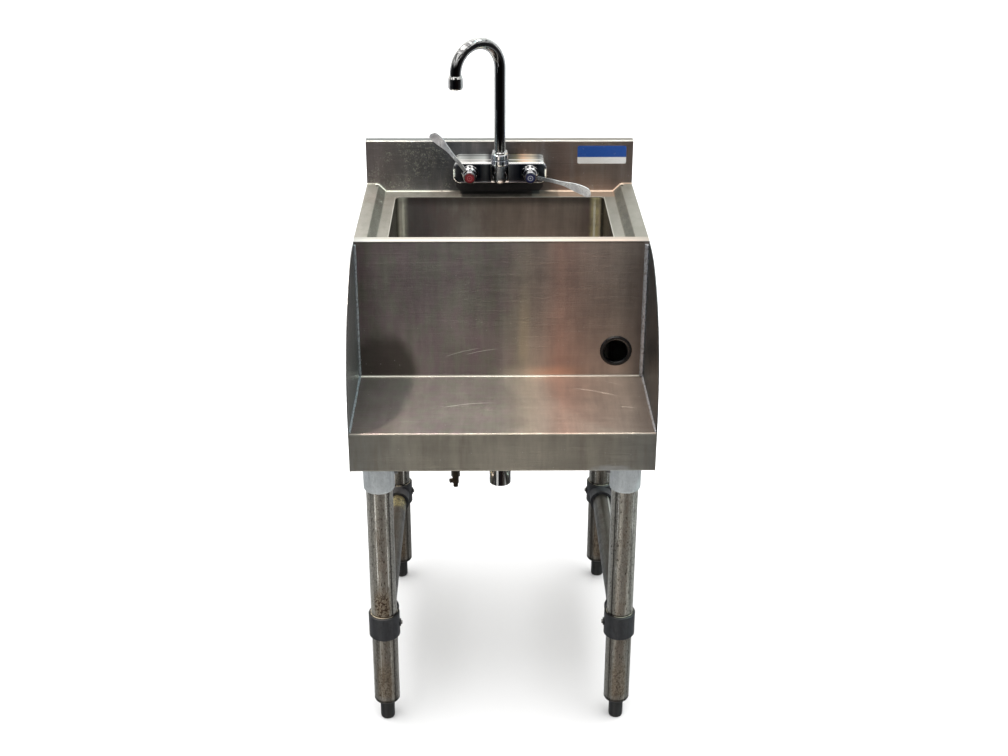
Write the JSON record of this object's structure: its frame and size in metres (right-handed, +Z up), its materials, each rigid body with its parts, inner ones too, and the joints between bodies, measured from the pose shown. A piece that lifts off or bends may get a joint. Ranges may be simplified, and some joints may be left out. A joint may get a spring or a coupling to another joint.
{
  "type": "underbar blender station sink",
  "caption": "Narrow stainless underbar unit: hand sink with splash mounted gooseneck faucet, drop shelf for a blender in front, and tube legs with side rails.",
  "frame": {"origin": "on the floor, under the middle of the whole outline", "axes": "+Z up, +Y from the user towards the backsplash, +X to the user's right"},
  "size_m": [0.4572, 0.5536, 1.0403],
  "materials": {
    "brushed_stainless": "brushed, fine vertical and horizontal grain, scratched with use",
    "bowl_stainless": "satin drawn bowl",
    "channel_steel": "mill finish",
    "black_rubber": "smooth black",
    "cast_zinc": "pale dull casting",
    "galvanised_tube": "galvanised tube, streaked and spotted with rust",
    "dark_cast": "dark grey paint, dull",
    "dark_plastic": "dark grey, dull",
    "screw_steel": "dark plated",
    "drain_steel": "polished stainless",
    "chrome_plate": "bright chrome",
    "white_plastic": "plain",
    "bare_brass": "dull brass",
    "red_plastic": "glossy red",
    "blue_plastic": "glossy dark blue",
    "old_copper": "tarnished copper",
    "old_brass": "dark tarnished brass"
  },
  "bodies": {
    "station": {"sink_deck": "brushed_stainless", "sink_bowl": "bowl_stainless", "blender_shelf": "brushed_stainless", "left_side_panel": "brushed_stainless", "right_side_panel": "brushed_stainless", "back_panel": "brushed_stainless", "left_leg_channel": "channel_steel", "right_leg_channel": "channel_steel", "cord_grommet": "black_rubber", "front_left_socket": "cast_zinc", "front_right_socket": "cast_zinc", "rear_left_socket": "cast_zinc", "rear_right_socket": "cast_zinc", "front_left_leg": "galvanised_tube", "front_right_leg": "galvanised_tube", "rear_left_leg": "galvanised_tube", "rear_right_leg": "galvanised_tube", "front_left_insert": "dark_plastic", "front_right_insert": "dark_plastic", "rear_left_insert": "dark_plastic", "rear_right_insert": "dark_plastic", "front_left_collar": "dark_cast", "front_right_collar": "dark_cast", "rear_left_collar": "dark_cast", "rear_right_collar": "dark_cast", "left_rail": "galvanised_tube", "right_rail": "galvanised_tube", "collar_set_screws": "screw_steel", "socket_set_screws": "screw_steel", "strainer_body": "drain_steel", "drain_gasket": "black_rubber", "drain_locknut": "bare_brass", "slip_nut": "chrome_plate", "slip_washer": "white_plastic", "tailpiece": "chrome_plate", "faucet_body": "chrome_plate", "spout_nut": "chrome_plate", "hot_bonnet": "chrome_plate", "cold_bonnet": "chrome_plate", "shank_washers": "white_plastic", "shank_locknuts": "bare_brass", "hot_supply_riser": "old_copper", "hot_supply_fitting": "old_brass"},
    "spout_arm": {"spout": "chrome_plate", "spout_seal": "black_rubber", "aerator": "chrome_plate"},
    "hot_valve": {"hot_handle": "chrome_plate", "hot_stem": "bare_brass", "hot_handle_screw": "screw_steel", "hot_index": "red_plastic"},
    "cold_valve": {"cold_handle": "chrome_plate", "cold_stem": "bare_brass", "cold_handle_screw": "screw_steel", "cold_index": "blue_plastic"},
    "basket": {"strainer_basket": "drain_steel"},
    "foot_front_left": {"front_left_foot": "dark_plastic"},
    "foot_front_right": {"front_right_foot": "dark_plastic"},
    "foot_rear_left": {"rear_left_foot": "dark_plastic"},
    "foot_rear_right": {"rear_right_foot": "dark_plastic"}
  },
  "joints": [
    {"name": "spout_swivel", "type": "hinge", "parent": "station", "child": "spout_arm", "pos_m": [0, 0.1778, 0.835], "axis": [0, 0, 1], "range_deg": [-36, 144]},
    {"name": "hot_turn", "type": "hinge", "parent": "station", "child": "hot_valve", "pos_m": [-0.0508, 0.1632, 0.8075], "axis": [0, -1, 0], "range_deg": [-25.1, 64.9]},
    {"name": "cold_turn", "type": "hinge", "parent": "station", "child": "cold_valve", "pos_m": [0.0508, 0.1632, 0.8075], "axis": [0, -1, 0], "range_deg": [0, 90]},
    {"name": "basket_lift", "type": "slide", "parent": "station", "child": "basket", "axis": [0, 0, 1], "range_m": [0, 0.09]},
    {"name": "front_left_foot_screw", "type": "slide", "parent": "station", "child": "foot_front_left", "axis": [0, 0, -1], "range_m": [0, 0.025]},
    {"name": "front_right_foot_screw", "type": "slide", "parent": "station", "child": "foot_front_right", "axis": [0, 0, -1], "range_m": [0, 0.025]},
    {"name": "rear_left_foot_screw", "type": "slide", "parent": "station", "child": "foot_rear_left", "axis": [0, 0, -1], "range_m": [0, 0.025]},
    {"name": "rear_right_foot_screw", "type": "slide", "parent": "station", "child": "foot_rear_right", "axis": [0, 0, -1], "range_m": [0, 0.025]}
  ]
}
